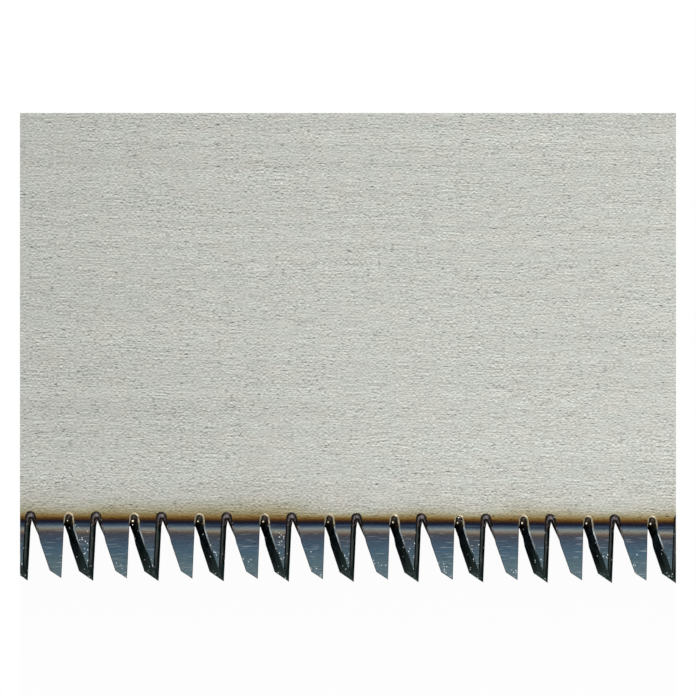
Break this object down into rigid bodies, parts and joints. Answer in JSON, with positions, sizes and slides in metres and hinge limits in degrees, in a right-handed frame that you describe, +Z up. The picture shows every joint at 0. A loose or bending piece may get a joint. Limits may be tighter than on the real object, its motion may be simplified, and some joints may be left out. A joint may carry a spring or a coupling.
{
  "type": "kataba saw",
  "caption": "Single-edged pull saw with a thin hook-in blade clamped in a folded steel head, on a straight wooden handle wound with rattan at the front.",
  "frame": {"origin": "under the middle of the saw's outline, on the plane that the flat underside of the handle rests on", "axes": "+X from the toe of the blade to the butt of the handle, +Y from the teeth to the spine, +Z up, square to the blade"},
  "size_m": [0.6526, 0.0566, 0.022],
  "materials": {
    "ground_steel": "lengthwise ground",
    "plated_steel": "satin plated",
    "black_steel": "blackened",
    "brass": "satin",
    "cypress": "planed, bare",
    "rattan": "natural cane skin"
  },
  "bodies": {
    "handle": {"head_channel": "plated_steel", "shank_spacer": "plated_steel", "hook_pin": "plated_steel", "weld_nut": "plated_steel", "ferrule": "black_steel", "ferrule_rivet": "plated_steel", "tang_rivet_1": "plated_steel", "tang_rivet_2": "plated_steel", "handle_upper": "cypress", "handle_lower": "cypress", "rattan_wrap": "rattan"},
    "blade": {"blade": "ground_steel"},
    "screw_washer": {"screw_washer": "plated_steel"},
    "clamp_screw": {"clamp_screw": "brass"}
  },
  "joints": [
    {"name": "blade_swing", "type": "hinge", "parent": "handle", "child": "blade", "pos_m": [-0.02471, 0.00832, 0.011], "axis": [0, 0, 1], "range_deg": [0, 38]},
    {"name": "washer_lift", "type": "slide", "parent": "handle", "child": "screw_washer", "axis": [0, 0, 1], "range_m": [0, 0.00161]},
    {"name": "screw_turn", "type": "hinge", "parent": "screw_washer", "child": "clamp_screw", "pos_m": [-0.04171, 0.01732, 0.011], "axis": [0, 0, 1], "range_deg": [0, 720]}
  ],
  "couplings": [
    {"joint": "washer_lift", "follows": "screw_turn", "m_per_rad": 0.00012732}
  ]
}
